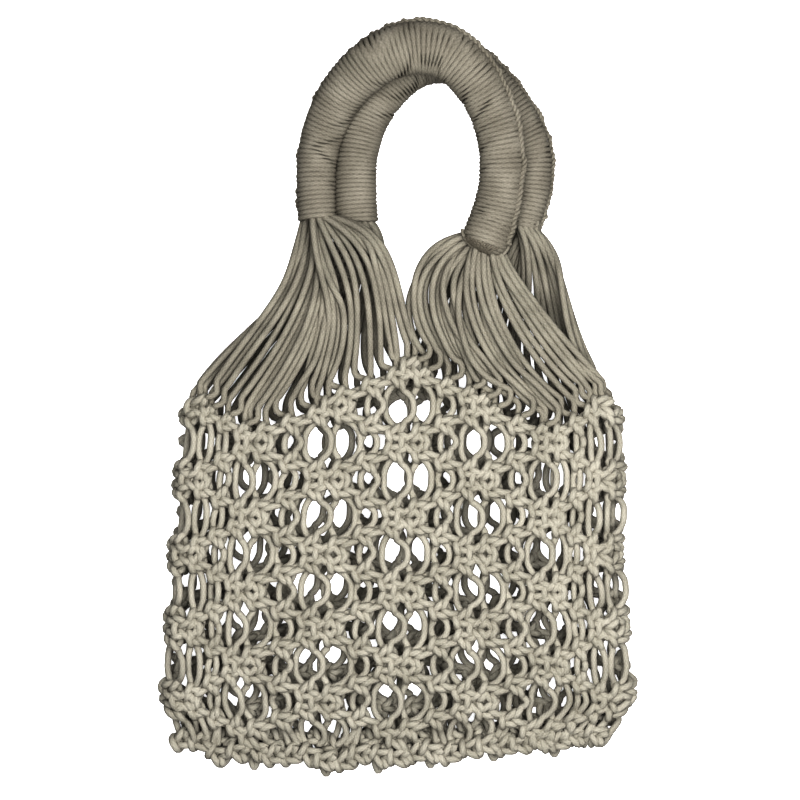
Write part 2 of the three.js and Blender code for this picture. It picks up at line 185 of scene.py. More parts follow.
# The winding, the core inside it and the spine. Turns of the winding overlap, and none is squeezed thinner
# than TIGHTEST_WRAP of its width. A spine's hitch stands out more the slacker it is, and few are slack.
WRAPS = 98
RINGS_PER_WRAP = 28
WRAP_OVERLAP = 1.25
WRAP_SLACK = 0.25
SLACK_PER_WRAP = 3
WINDING_FOLD = 32
TIGHTEST_WRAP = 0.35
CORE_INSET = 3.0
CORE_RINGS = 60
CORE_SIDES = 20
CORE_FOLD = 4
SPINE_RINGS_PER_WRAP = 6
SPINE_RADIUS = 1.25
SPINE_TWIST = 1.0
SPINE_BUMP = 1.8
SPINE_RARITY = 3
SPINE_SINK = 0.7

# The rounded end of the front grip's right leg, which lies over its bare cords
TONGUE_LENGTH = 11.0
TONGUE_DRIFT = 5.0
TONGUE_TURNS = 5
TONGUE_RINGS = 160
RIM_RADIUS = 1.6
RIM_RINGS = 40
STITCHES = 7
STITCH_RADIUS = 0.9
STITCH_RINGS = 14
# Stitches of the patch: where they start between the dome's foot and its tip, and how far they go
PATCH_FOOT = 0.3
PATCH_RISE = 0.6
# Places of the first and the last stitch round the patch, and how far each leans. Those that lean the other
# way are mirrored, so that the places of such a pair add up to PATCH_MIRROR.
PATCH_FIRST = -0.4
PATCH_LAST = 0.8
STITCH_LEAN = 0.6
PATCH_MIRROR = 1.2
# Where the patch's place 0 lies round the dome, and how far it is from there to place 1, in half turns
PATCH_START = 0.45
PATCH_REACH = 0.4

# Bundles of bare cords: the handle and end that they leave, their first cord in the net and the step to the
# next, how far the first and the last cord rise on the way, how far all bow to the right, and how far the
# bunch lies below the grip's middle. near and off are rows of points, spread evenly from the first cord to
# the last. A cord leaves the grip towards its point in near. It comes to the net from its point in off,
# which is counted from where the cord's hook starts.
BUNDLES = {
    "front_left": dict(
        handle="front", end=0, first=-23, step=1, lift=(6.0, 16.0), shift=0.0, sink=0.0,
        near=((-74, 84), (-48, 82), (-38, 80), (-60, 82), (-16, 106), (5, 119)),
        off=((40, 52), (37, 50), (33, 46), (24, 58), (-2, 54), (-27, 46)),
    ),
    "front_right": dict(
        handle="front", end=-1, first=1, step=1, lift=(4.0, 8.0), shift=0.0, sink=6.5,
        near=((-5, 107), (37, 82), (80, 82)), off=((-11, 15), (-44, 32), (-30, 28)),
    ),
    "back_left": dict(
        handle="back", end=0, first=-24, step=-1, lift=(-1.0, -1.0),
        near=((-38, 92), (2, 104)), off=((28, 33), (-26, 30)), shift=1.5, sink=0.0,
    ),
    "back_right": dict(
        handle="back", end=-1, first=48, step=-1, lift=(-1.0, -1.0),
        near=((51, 98), (70, 96), (89, 93), (111, 90), (127, 88), (132, 84)),
        off=((9, 34), (2, 35), (-5, 36), (-13, 33), (-22, 28), (-30, 22)), shift=-2.0, sink=0.0,
    ),
}
# The bunch in a grip's end: its radius, how far it is tucked in, how round it is, and its two decks of
# layers. A bunch that lay SINK_DEPTH below the grip's middle would be flat.
BUNDLE_RADIUS = 9.6
BUNDLE_TUCK = 7.0
BUNDLE_SQUEEZE = 0.92
LAYERS = 3
LAYER_REACH = 1.5
DECK_SHIFT = 0.25
SINK_DEPTH = 13.0
# The way to the net: the share of it after which a cord is down at the net's height, its waves, alone and in
# a clump, and the hook of a knot's cord, across and up from where it meets the knot
BUNDLE_SETTLE = 0.5
FAN_POINTS = 36
FAN_RINGS = 56
FAN_WOBBLE = 1.6
FAN_CLUMP = 3
CLUMP_WOBBLE = 1.4
HOOK_START = (8.0, 12.0)
HOOK_BEND = (7.2, 3.4)
HOOK_SWINGS = {"right_worker": 1.0, "left_worker": -1.0, "right_filler": 0.15, "left_filler": -0.15}
BARE_RADIUS = 2.35
# How cords settle: the rounds, the distance to keep, the share of it made up in a round, and how much of that
# goes sideways. The same for cords that cover each other, seen from above, and how moves are evened out.
FAN_ROUNDS = 45
FAN_SPACING = 3.9
FAN_PUSH = 0.3
SIDE_PUSH = 0.35
GAP_SPACING = 4.4
GAP_PUSH = 0.14
GAP_START = 0.5
EVENING = 0.25
EVENING_PASSES = 2

# Row of closing knots
CLOSING_KNOTS = 48
CLOSING_SCALE = 1.15
CLOSING_WAVE = 2.5
CLOSING_TILT = 35.0
CLOSING_SLIP = 1.5
CLOSING_STAGGER = 9.0
CLOSING_ROW = 10.25
CLOSING_LINE = np.array(
    [
        (-150, -240), (-124, -247), (-60, -251), (-40, -253), (0, -250), (25, -248), (70, -243), (114, -239),
        (146, -235),
    ],
    dtype=[("x", float), ("y", float)],
)
CLOSING_Z = 9.8
# Distance of each of the two layers of knots from CLOSING_Z, in cord radii
CLOSING_LAYER = 1.6
CLOSING_RINGS = 40
CLOSING_LOOPS = np.array(
    [(-101, 7, 2.5), (-50, 8, 3), (-13, 7, 2.5), (24, 6, 2.5), (69, 6, 3), (112, 7, 3)],
    dtype=[("x", float), ("drop", float), ("spread", float)],
)
CLOSING_WAIST = 4.8
LOOP_RINGS = 28

# Camera, straight above the middle of the picture
PICTURE_CENTRE = (2.45, 0.95)
PICTURE_WIDTH = 560.0
PICTURE_PLANE = 27.6
CAMERA_HEIGHT = 1300.0
SENSOR = 36.0

# Light: a weak sky, a low band all round and one large soft lamp, with places and sizes in metres
SKY_LIGHT = 0.012
BAND_LIGHT = 0.6
KEY_PLACE = (0.11, 0.0, 0.8)
KEY_TARGET = (0.02, -0.04, 0.0)
KEY_SIZE = 1.1
KEY_POWER = 18.0
WHITE = (1.0, 1.0, 1.0, 1.0)
# Output of the Texture Coordinate node that gives object coordinates, or a direction in the sky
OBJECT_OUTPUT = 3
EXPOSURE = 0.17
GAMMA = 0.57

# The floor, with its side in metres
FLOOR_SIZE = 60.0
FLOOR_TONE = (0.9, 0.9, 0.9, 1.0)
FLOOR_ROUGHNESS = 0.9
FLOOR_GLOW = 0.75

# Cotton: yarns round the cord and along one diameter, fine fibres and slow changes of tone
BRAID_CARRIERS = 6
BRAID_PER_DIAMETER = 1.1
FIBRE_SCALE = 1100.0
FIBRE_DETAIL = 2.0
MOTTLE_SCALE = 55.0
MOTTLE_DETAIL = 3.0
# How much each of them changes the tone, and how much yarns and fibres raise the surface
MOTTLE_TONE = 1.1
# Painted shade: the yarns' tone is darker in the grooves between them, where the surface is lower
BRAID_GROOVE_SHADE = 0.16
FIBRE_TONE = 0.9
BRAID_RISE = 0.5
FIBRE_RISE = 0.6
BUMP_STRENGTH = 0.55
BUMP_HEIGHT = 0.35
COTTON_ROUGHNESS = 0.95
COTTON_SHINE = 0.15
# Dark and light tone of each kind of cord. The wound and bare cords are the same cotton as the knotted ones,
# and their darker tones are painted shade for the light that falls off from the net towards the handles.
TONES = {
    "wound": ((0.172, 0.159, 0.131), (0.315, 0.297, 0.258)),
    "stitched": ((0.11, 0.1, 0.08), (0.27, 0.25, 0.21)),
    "bare": ((0.172, 0.161, 0.136), (0.345, 0.327, 0.281)),
    "knotted": ((0.252, 0.239, 0.202), (0.437, 0.419, 0.373)),
}

random = np.random.default_rng(SEED)


def net_surface(strand, row, out):
    """Place on the net for a cord number, a row and a distance out from the middle of its wall.

    The section is two straight runs joined by two half circles. The cord number gives the way round from
    the middle of the front. Past the straight run the way turns about the half circle, and past half a turn
    it runs back along the other face, which lies a little to the right and, row by row, higher or lower.
    Nothing lies lower than a cord resting on the ground.
    """
    size = {
        name: np.interp(row, NET_SECTIONS["row"], NET_SECTIONS[name]) for name in NET_SECTIONS.dtype.names
    }
    radius = size["depth"] / 2
    straight = size["half_width"] - radius
    half_round = 2 * straight + np.pi * radius
    share = np.interp(np.abs(strand), SPREAD["strand"], SPREAD["share"])
    shift = (size["lattice"] - size["centre"]) * (1 - 2 * np.abs(strand) / STRANDS_PER_FACE)
    way = np.sign(strand) * half_round * share + shift
    side = np.where(way < 0, -1.0, 1.0)
    turn = np.clip((np.abs(way) - straight) / radius, 0, np.pi)
    run = np.abs(way) - radius * turn
    along = np.where(turn < np.pi, run, 2 * straight - run)
    backness = (1 - np.cos(turn)) / 2
    return np.stack(
        [
            size["centre"] + side * (along + (radius + out) * np.sin(turn)) + BACK_SHIFT * backness,
            PEAK_Y - ROW_PITCH * row + size["back_rise"] * backness,
            np.maximum(NET_WALL / 2 + radius + (radius + out) * np.cos(turn), GROUND_REST),
        ],
        axis=-1,
    )


def smooth_path(keys, per_span):
    """Curve through the keys: on each span a cubic whose end slopes are those of the parabola through
    three neighbours, with a parameter that grows with the square root of the distance."""
    span = np.diff(keys, axis=0)
    step = np.sqrt(np.linalg.norm(span, axis=1))[:, None]
    rate = span / step
    weight = step[:-1] / (step[:-1] + step[1:])
    slope = np.vstack([rate[:1], rate[:-1] * (1 - weight) + rate[1:] * weight, rate[-1:]])
    t = np.linspace(0, 1, per_span, endpoint=False)[None, :, None]
    start, end, grow = keys[:-1, None], keys[1:, None], step[:, None]
    points = (
        (1 + 2 * t) * (1 - t) ** 2 * start
        + t * (1 - t) ** 2 * grow * slope[:-1, None]
        + t * t * (3 - 2 * t) * end
        + t * t * (t - 1) * grow * slope[1:, None]
    )
    return np.vstack([points.reshape(-1, keys.shape[1]), keys[-1:]])


def lengths_along(path):
    """Length from the start of a path to each of its points, for one path or for many."""
    step = np.linalg.norm(np.diff(path, axis=-2), axis=-1)
    return np.concatenate([np.zeros(step.shape[:-1] + (1,)), np.cumsum(step, axis=-1)], axis=-1)


def even_points(path, count):
    """The same path with a given count of points at even distances."""
    length = lengths_along(path[:, :3])
    wanted = np.linspace(0, length[-1], count)
    return np.stack([np.interp(wanted, length, column) for column in path.T], axis=-1)


def unit(vector):
    """Vectors of the same direction and of length one."""
    return vector / np.linalg.norm(vector, axis=-1, keepdims=True)


def carried_axes(paths):
    """Two axes across each path, of length one, carried from ring to ring without twisting."""
    tangent = unit(np.gradient(paths, axis=-2))
    helper = np.where(np.abs(tangent[:, :1, 2:]) < STEEP, UP, ACROSS)
    side = np.empty_like(paths)
    side[:, 0] = unit(np.cross(helper[:, 0], tangent[:, 0]))
    for ring in range(1, paths.shape[1]):
        ahead = tangent[:, ring]
        last = side[:, ring - 1]
        side[:, ring] = unit(last - ahead * np.sum(last * ahead, axis=-1, keepdims=True))
    return side, np.cross(tangent, side)


def new_mesh(name, vertices, corners, starts, maps):
    """Puts vertices, face corners and texture maps into a new object at the origin."""
    mesh = bpy.data.meshes.new(name)
    mesh.vertices.add(len(vertices))
    mesh.vertices.foreach_set("co", (vertices * MM).astype(np.float32).ravel())
    mesh.loops.add(len(corners))
    mesh.loops.foreach_set("vertex_index", corners.astype(np.int32))
    mesh.polygons.add(len(starts))
    mesh.polygons.foreach_set("loop_start", starts.astype(np.int32))
    mesh.polygons.foreach_set("use_smooth", np.ones(len(starts), dtype=bool))
    for map_name, places in maps.items():
        layer = mesh.uv_layers.new(name=map_name)
        layer.uv.foreach_set("vector", places.astype(np.float32).ravel())
    mesh.update(calc_edges=True)
    mesh.validate()
    piece = bpy.data.objects.new(name, mesh)
    bpy.context.scene.collection.objects.link(piece)
    return piece


def tubes(name, centre, side, up, sides=CORD_SIDES, fold=1):
    """Closed tubes: at each point of each path a ring of centre + side * cos + up * sin.

    The map Cord holds the length along a cord, in cord diameters, and the share of the way round it. The map
    OFBake lays each cord out in its own rows, folded into the given number, with the end caps in a last row.
    """
    cords, rings = centre.shape[:2]
    angle = np.arange(sides) * 2 * np.pi / sides
    ring = (
        centre[:, :, None]
        + side[:, :, None] * np.cos(angle)[:, None]
        + up[:, :, None] * np.sin(angle)[:, None]
    )
    cord, step, corner = np.meshgrid(np.arange(cords), np.arange(rings - 1), np.arange(sides), indexing="ij")
    after = (corner + 1) % sides
    here = (cord * rings + step) * sides
    quads = np.stack([here + corner, here + after, here + sides + after, here + sides + corner], axis=-1)

    length = lengths_along(centre) / CORD
    low, high = length[cord, step], length[cord, step + 1]
    around, onward = corner / sides, (corner + 1) / sides
    cord_map = np.stack([low, around, low, onward, high, onward, high, around], axis=-1)

    per_row = -(-(rings - 1) // fold)
    rows = cords * fold + 1
    left = (step % per_row) / per_row
    right = left + 1 / per_row
    base = cord * fold + step // per_row
    bottom = (base + BAKE_MARGIN + BAKE_FILL * around) / rows
    top = (base + BAKE_MARGIN + BAKE_FILL * onward) / rows
    bake_map = np.stack([left, bottom, left, top, right, top, right, bottom], axis=-1)

    first = np.arange(cords)[:, None] * rings * sides + np.arange(sides)[::-1]
    last = np.arange(cords)[:, None] * rings * sides + (rings - 1) * sides + np.arange(sides)
    caps = np.concatenate([first, last])
    turned = np.concatenate([np.tile(angle[::-1], (cords, 1)), np.tile(angle, (cords, 1))])
    cap_size = CAP_SHARE * min(1 / rows, 1 / len(caps))
    cap_bake = np.stack(
        [
            (np.arange(len(caps))[:, None] + 0.5) / len(caps) + cap_size * np.cos(turned),
            (rows - 0.5) / rows + cap_size * np.sin(turned),
        ],
        axis=-1,
    )
    cap_cord = np.stack([np.zeros_like(turned), turned / (2 * np.pi)], axis=-1)
    corners = np.concatenate([quads.ravel(), caps.ravel()])
    starts = np.concatenate(
        [np.arange(quads.size // 4) * 4, quads.size + np.arange(len(caps)) * sides]
    )
    maps = {
        "Cord": np.concatenate([cord_map.ravel(), cap_cord.ravel()]),
        "OFBake": np.concatenate([bake_map.ravel(), cap_bake.ravel()]),
    }
    return new_mesh(name, ring.reshape(-1, 3), corners, starts, maps)


def cord_tubes(name, paths):
    """Round cords along the paths. Each point of a path has its place and the cord's radius there."""
    centre, radius = paths[..., :3], paths[..., 3:]
    side, up = carried_axes(centre)
    return tubes(name, centre, side * radius, up * radius)


def of_radius(paths, radius):
    """Paths with one radius added to all their points."""
    return np.concatenate([paths, np.full(paths.shape[:-1] + (1,), radius)], axis=-1)


# Knots and the cords that run through them
def first_knot_row(column):
    """The row where the knots of a column start: a zigzag with peaks in the middle of the front and the back
    and a lower peak at each side fold."""
    inward = np.minimum(np.abs(column), COLUMNS // 2 - np.abs(column))
    return np.where(inward <= DIAMOND, inward, 2 * DIAMOND - inward)


def knot_rows(column):
    """Rows of a column's knots: those on the two families of slanting lines that bound the diamonds."""
    row = np.arange(LAST_KNOT_ROW + 1)
    on_line = ((column + row) % DIAMOND == 0) | ((column - row) % DIAMOND == 0)
    return row[on_line & (row >= first_knot_row(column))]


knot_tilt = np.radians(KNOT_TILT) * random.uniform(-1, 1, (COLUMNS + 1, LAST_KNOT_ROW + 1))
knot_slip = KNOT_SLIP * random.uniform(-1, 1, (COLUMNS + 1, LAST_KNOT_ROW + 1, 2))


def turned_knot(keys, tilt):
    """Knot keys turned in the plane of the net."""
    across, down, out = keys.T
    turned_across = across * np.cos(tilt) - down * np.sin(tilt)
    turned_down = across * np.sin(tilt) + down * np.cos(tilt)
    return np.stack([turned_across, turned_down, out], axis=-1)


KNOT_ROLES = {
    "left_worker": LEFT_WORKER,
    "right_worker": RIGHT_WORKER,
    "left_filler": LEFT_FILLER,
    "right_filler": RIGHT_FILLER,
}


def knot_keys(column, row, role, keep_start, keep_end):
    """One cord's keys through one knot, as cord number, row and distance out. A worker's first and last key
    are left out where the next knot is close. A knot leans against the slanting line that it lies on, and
    one beside a crossing of two lines is drawn towards it."""
    keys = KNOT_ROLES[role]
    if role.endswith("worker"):
        keys = keys[0 if keep_start else 1 : len(keys) if keep_end else -1]
    wrapped = (column + COLUMNS // 2) % COLUMNS
    rising, falling = (column + row) % DIAMOND == 0, (column - row) % DIAMOND == 0
    lean = np.radians(KNOT_LEAN) * (int(rising) - int(falling))
    keys = keys * (1, CROSSING_STRETCH if rising and falling else 1, 1)
    across, down, out = turned_knot(keys, lean + knot_tilt[wrapped, row]).T
    slip = knot_slip[wrapped, row]
    from_crossing = (column + CROSSING_STEP // 2) % CROSSING_STEP - CROSSING_STEP // 2
    gather = -KNOT_GATHER * from_crossing if abs(from_crossing) == 1 else 0.0
    strand = 2 * column + (across + slip[0] + gather) / STRAND_PITCH
    return np.stack([strand, row / KNOT_ROWS_PER_ROW + (down + slip[1]) / ROW_PITCH, out], axis=-1)


def bowed_span(start, end, bow, lift):
    """Keys of a free cord between two knots, moved sideways and out by a full arch: one less a power of the
    distance from the middle."""
    share = BOW_SHARES[:, None]
    swell = 1 - np.abs(1 - 2 * share) ** BOW_FULLNESS
    length = ROW_PITCH * (end[1] - start[1])
    sideways = np.array([bow * length / STRAND_PITCH, 0.0, lift])
    return start + (end - start) * share + swell * sideways


def span_bend(strand, role):
    """Bow and lift of a cord's next free span. At the side folds they hang straighter and stand off more."""
    bow, lift = BOWS[role]
    change = 1 + BOW_SPREAD * random.uniform(-1, 1)
    from_fold = abs(abs(strand + 0.5) - FOLD_STRAND)
    fold = np.clip((FOLD_REACH - from_fold) / FOLD_FADE, 0, 1)
    return bow * change * (1 - FOLD_STRAIGHT * fold), lift * change + FOLD_LIFT * fold * random.uniform(0, 2)


def net_keys(strand):
    """Places and radii of one cord, through its knots to the closing row, and its part in its first knot."""
    pair = strand // 2
    roles = ("right_filler", "left_worker") if strand % 2 == 0 else ("right_worker", "left_filler")
    stops = sorted(
        (int(row), column, role)
        for column, role in zip((pair, pair + 1), roles)
        for row in knot_rows((column + COLUMNS // 2) % COLUMNS - COLUMNS // 2)
    )
    rows = [stop[0] for stop in stops]
    keys, thick = [], []
    for index, (row, column, role) in enumerate(stops):
        keep_start = index > 0 and row - rows[index - 1] > 1
        keep_end = index + 1 == len(stops) or rows[index + 1] - row > 1
        here = knot_keys(column, row, role, keep_start, keep_end)
        if index > 0 and row - rows[index - 1] > SHORT_SPAN:
            keys.append(bowed_span(keys[-1][-1], here[0], *span_bend(strand, role)))
            thick.append(np.full(len(keys[-1]), FREE_RADIUS))
        keys.append(here)
        thick.append(np.full(len(here), KNOT_RADIUS))
    foot = np.array([strand + 0.5, CLOSING_ROW, -CORD_RADIUS])
    if LAST_KNOT_ROW - rows[-1] > SHORT_SPAN:
        keys.append(bowed_span(keys[-1][-1], foot, *span_bend(strand, stops[-1][2])))
        thick.append(np.full(len(keys[-1]), FREE_RADIUS))
    keys.append(foot)
    thick.append([FREE_RADIUS])
    return np.column_stack([net_surface(*np.vstack(keys).T), np.concatenate(thick)]), stops[0][2]


# Bundles of bare cords
def handle_line(name):
    """Smooth middle line of a handle, with the oval's width and depth and the spine's angle along it."""
    stations = HANDLES[name]
    columns = np.stack([stations[key] for key in stations.dtype.names], axis=-1)
    middle = smooth_path(columns[:, :3], HANDLE_STEPS)
    place = np.arange(len(middle)) / HANDLE_STEPS
    station = np.arange(len(columns))
    sizes = [np.interp(place, station, columns[:, column]) for column in (WIDTH, DEPTH, RIDGE)]
    return np.column_stack([middle, *sizes])


def line_axes(line):
    """Tangent, flat outward axis and upward axis along a handle's line."""
    tangent = unit(np.gradient(line[:, :3], axis=0))
    out = unit(np.cross(UP, tangent))
    return tangent, out, np.cross(tangent, out)


def between_points(share, points):
    """Places at the given shares of the way along a row of evenly spaced points."""
    knots = np.linspace(0, 1, len(points))
    return np.concatenate([np.interp(share, knots, column) for column in points.T], axis=-1)


def smooth_step(share):
    """Goes from 0 to 1 with level ends as the share does, and stays there beyond."""
    held = np.clip(share, 0, 1)
    return held * held * (3 - 2 * held)


def fan_paths(handle, end, lift, shift, sink, near, off, meets, hooks):
    """Bare cords from a handle's end to the net, before they settle against each other.

    Each cord starts at its place in a bunch of two decks, layer by layer, and follows a cubic bend whose two
    middle points are read off the bundle's rows of points. Its height goes over from the bunch's to the
    net's. Cords wave a little, a few neighbours alike, and a knot's working cord hooks round into it from
    the side.
    """
    line = handle_line(handle)
    tangent, out, up = (axis[end] for axis in line_axes(line))
    outward = -1 if end == 0 else 1
    share = np.linspace(0, 1, len(meets))[:, None]
    deck = np.where(share < 0.5, -1.0, 1.0)
    sideways = ((4 * share - 2 - deck) * (1 - DECK_SHIFT) + deck * DECK_SHIFT) * BUNDLE_RADIUS
    layer = (np.arange(len(meets)) * 2 % LAYERS)[:, None] / (LAYERS - 1) + deck - 0.5
    half_height = np.sqrt(BUNDLE_RADIUS**2 - (BUNDLE_SQUEEZE * sideways) ** 2)
    upward = layer * half_height / LAYER_REACH * (1 - sink / SINK_DEPTH) - sink
    middle = line[end, :3] - outward * BUNDLE_TUCK * tangent
    start = middle + outward * out * sideways + up * upward
    rim = start + outward * tangent * BUNDLE_TUCK
    leave = between_points(share, near)
    hook_start, hook_bend = (
        meets[:, :2] + np.stack([hooks * sideways_move, np.full(len(meets), up_move)], axis=-1)
        for sideways_move, up_move in (HOOK_START, HOOK_BEND)
    )
    arrive = hook_start + between_points(share, off)
    t = np.linspace(0, 1, FAN_POINTS)[:, None]
    flat = (
        (1 - t) ** 3 * rim[:, None, :2]
        + 3 * (1 - t) ** 2 * t * leave[:, None]
        + 3 * (1 - t) * t**2 * arrive[:, None]
        + t**3 * hook_start[:, None]
    )
    settle = smooth_step(t / BUNDLE_SETTLE)
    rise = ((1 - share) * lift[0] + share * lift[1])[:, None]
    height = (1 - settle) * rim[:, None, 2:] + settle * meets[:, None, 2:] + rise * np.sin(np.pi * t)
    clumps = random.uniform(-1, 1, (2, len(meets) // FAN_CLUMP, 1, 2)).repeat(FAN_CLUMP, axis=1)
    singles = random.uniform(-1, 1, (2, len(meets), 1, 2))
    long_wave, short_wave = CLUMP_WOBBLE * clumps + FAN_WOBBLE * singles
    flat = flat + long_wave * np.sin(np.pi * t) * smooth_step(2 * t) + short_wave * np.sin(2 * np.pi * t) * t
    flat[..., :1] += shift * np.sin(np.pi * t)
    paths = np.concatenate([flat, height], axis=-1)
    bend = np.concatenate([hook_bend, meets[:, 2:]], axis=-1)
    return np.concatenate([start[:, None], paths, bend[:, None], meets[:, None]], axis=1)


def settled(paths):
    """Moves cords that lie in each other apart, a little in each round.

    Where a front cord covers another, seen from above, they also move apart sideways, more so towards the
    net, but a front cord doesn't give way to one of the back. Each cord's moves are evened out along its
    length, so that it keeps its bend. Both ends stay, and nothing sinks below the ground.
    """
    cords, points = paths.shape[:2]
    owner = np.repeat(np.arange(cords), points)
    other = owner[:, None] < owner[None, :]
    over = other & (owner[:, None] < cords // 2)
    spread = np.tile(smooth_step(np.linspace(-GAP_START, 1, points)), cords)[:, None]
    hold = np.ones((points, 1))
    hold[[0, 1, -2, -1]] = 0
    move = np.zeros_like(paths)
    for _ in range(FAN_ROUNDS):
        flat = (paths + move).reshape(-1, 3)
        square = np.sum(flat**2, axis=1)
        gap = square[:, None] + square[None, :] - 2 * flat @ flat.T
        one, two = np.nonzero((gap < FAN_SPACING**2) & other)
        apart = flat[one] - flat[two]
        distance = np.linalg.norm(apart, axis=1, keepdims=True) + TINY
        push = FAN_PUSH * (FAN_SPACING - distance) * apart / distance * (SIDE_PUSH, SIDE_PUSH, 1.0)
        pushed = np.zeros_like(flat)
        np.add.at(pushed, one, push)
        np.add.at(pushed, two, -push)
        seen_gap = gap - (flat[:, None, 2] - flat[None, :, 2]) ** 2
        front, covered = np.nonzero((seen_gap < GAP_SPACING**2) & over)
        beside = (flat[covered] - flat[front]) * (1 - UP)
        seen = np.linalg.norm(beside, axis=1, keepdims=True) + TINY
        shove = GAP_PUSH * spread[covered] * (GAP_SPACING - seen) * beside / seen
        np.add.at(pushed, covered, shove)
        np.add.at(pushed, front, -shove * (owner[covered] < cords // 2)[:, None])
        move = (move + pushed.reshape(paths.shape)) * hold
        for _ in range(EVENING_PASSES):
            move[:, 1:-1] += EVENING * (move[:, :-2] + move[:, 2:] - 2 * move[:, 1:-1])
            move *= hold
        low = GROUND_REST - (paths[..., 2] + move[..., 2])
        move[..., 2] += np.maximum(low, 0)
    return paths + move


# The finish of the cotton cord
class Shade:
    """A shader value, the output of one node. Arithmetic on it adds Math nodes to the same material."""

    def __init__(self, tree, socket):
        self.tree = tree
        self.socket = socket

    def node(self, kind, settings=None, sockets=None, output=0):
        """Any other node: its settings are set first, then its sockets get values or links."""
        made = self.tree.nodes.new(kind)
        for name, value in (settings or {}).items():
            setattr(made, name, value)
        for name, value in (sockets or {}).items():
            if isinstance(value, Shade):
                self.tree.links.new(value.socket, made.inputs[name])
            else:
                made.inputs[name].default_value = value
        return Shade(self.tree, made.outputs[output])

    def maths(self, operation, *values):
        """One Math node of the given operation on the values."""
        return self.node("ShaderNodeMath", {"operation": operation}, dict(enumerate(values)))

    def __add__(self, other):
        return self.maths("ADD", self, other)

    __radd__ = __add__

    def __mul__(self, other):
        return self.maths("MULTIPLY", self, other)

    __rmul__ = __mul__

    def __sub__(self, other):
        return self.maths("SUBTRACT", self, other)

    def __rsub__(self, other):
        return self.maths("SUBTRACT", other, self)

    def sine(self):
        """Sine of this value, taken as an angle in radians."""
        return self.maths("SINE", self)

    def between(self, low, high):
        """Colour from low to high as this value goes from 0 to 1, by the Mix node's colour sockets."""
        return self.node(
            "ShaderNodeMix", {"data_type": "RGBA"}, {0: self, 6: (*low, 1.0), 7: (*high, 1.0)}, output=2
        )


def cotton(name, dark, light):
    """Matte braided cotton: two crossing spirals of yarn, fine fibres, and slow changes of tone."""
    material = bpy.data.materials.new(name)
    material.use_nodes = True
    tree = material.node_tree
    surface = tree.nodes["Principled BSDF"]
    start = Shade(tree, None)
    cord_place = start.node("ShaderNodeUVMap", {"uv_map": "Cord"})
    along = start.node("ShaderNodeSeparateXYZ", sockets={0: cord_place}, output=0)
    around = start.node("ShaderNodeSeparateXYZ", sockets={0: cord_place}, output=1)
    place = start.node("ShaderNodeTexCoord", output=OBJECT_OUTPUT)
    turn = 2 * np.pi
    twist = around * (turn * BRAID_CARRIERS)
    run = along * (turn * BRAID_PER_DIAMETER)
    yarn = ((twist + run).sine() + (twist - run).sine()) * 0.5
    fibre, mottle = (
        start.node("ShaderNodeTexNoise", sockets={"Vector": place, "Scale": scale, "Detail": detail})
        for scale, detail in ((FIBRE_SCALE, FIBRE_DETAIL), (MOTTLE_SCALE, MOTTLE_DETAIL))
    )
    # The yarn term darkens the grooves between the yarns as painted shade
    tone = 0.5 + (mottle - 0.5) * MOTTLE_TONE + yarn * BRAID_GROOVE_SHADE + (fibre - 0.5) * FIBRE_TONE
    tree.links.new(tone.between(dark, light).socket, surface.inputs["Base Color"])
    bump = start.node(
        "ShaderNodeBump",
        sockets={
            "Height": yarn * BRAID_RISE + fibre * FIBRE_RISE,
            "Strength": BUMP_STRENGTH,
            "Distance": BUMP_HEIGHT * MM,
        },
    )
    tree.links.new(bump.socket, surface.inputs["Normal"])
    surface.inputs["Roughness"].default_value = COTTON_ROUGHNESS
    surface.inputs["Specular IOR Level"].default_value = COTTON_SHINE
    return material


def finish_piece(piece, material, node):
    """Gives a piece its material and slot, and lets it stand for its solid on the bag's one body."""
    piece.data.materials.append(material)
    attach(piece, "root")
    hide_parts(node)


# The wound and bare materials are shaded copies of the knotted cotton: their darker tones are painted shade
wound, stitched, bare, knotted = (cotton(f"{kind} cord", *tones) for kind, tones in TONES.items())


# Camera and light
def look_from_above():
    """A camera over the middle of the picture, as wide at PICTURE_PLANE's height as the picture is."""
    camera_data = bpy.data.cameras.new("camera")
    camera_data.sensor_width = SENSOR
    camera_data.lens = SENSOR * (CAMERA_HEIGHT - PICTURE_PLANE) / PICTURE_WIDTH
    camera = bpy.data.objects.new("camera", camera_data)
    camera.location = (PICTURE_CENTRE[0] * MM, PICTURE_CENTRE[1] * MM, CAMERA_HEIGHT * MM)
    bpy.context.scene.collection.objects.link(camera)
    bpy.context.scene.camera = camera


def area_light(name, place, target, size, power):
    """A round lamp at a place, turned towards its target."""
    data = bpy.data.lights.new(name, "AREA")
    data.shape = "DISK"
    data.size = size
    data.energy = power
    light = bpy.data.objects.new(name, data)
    light.location = place
    aim = np.array(target) - np.array(place)
    light.rotation_mode = "QUATERNION"
    light.rotation_quaternion = Vector(aim).to_track_quat("-Z", "Y")
    bpy.context.scene.collection.objects.link(light)


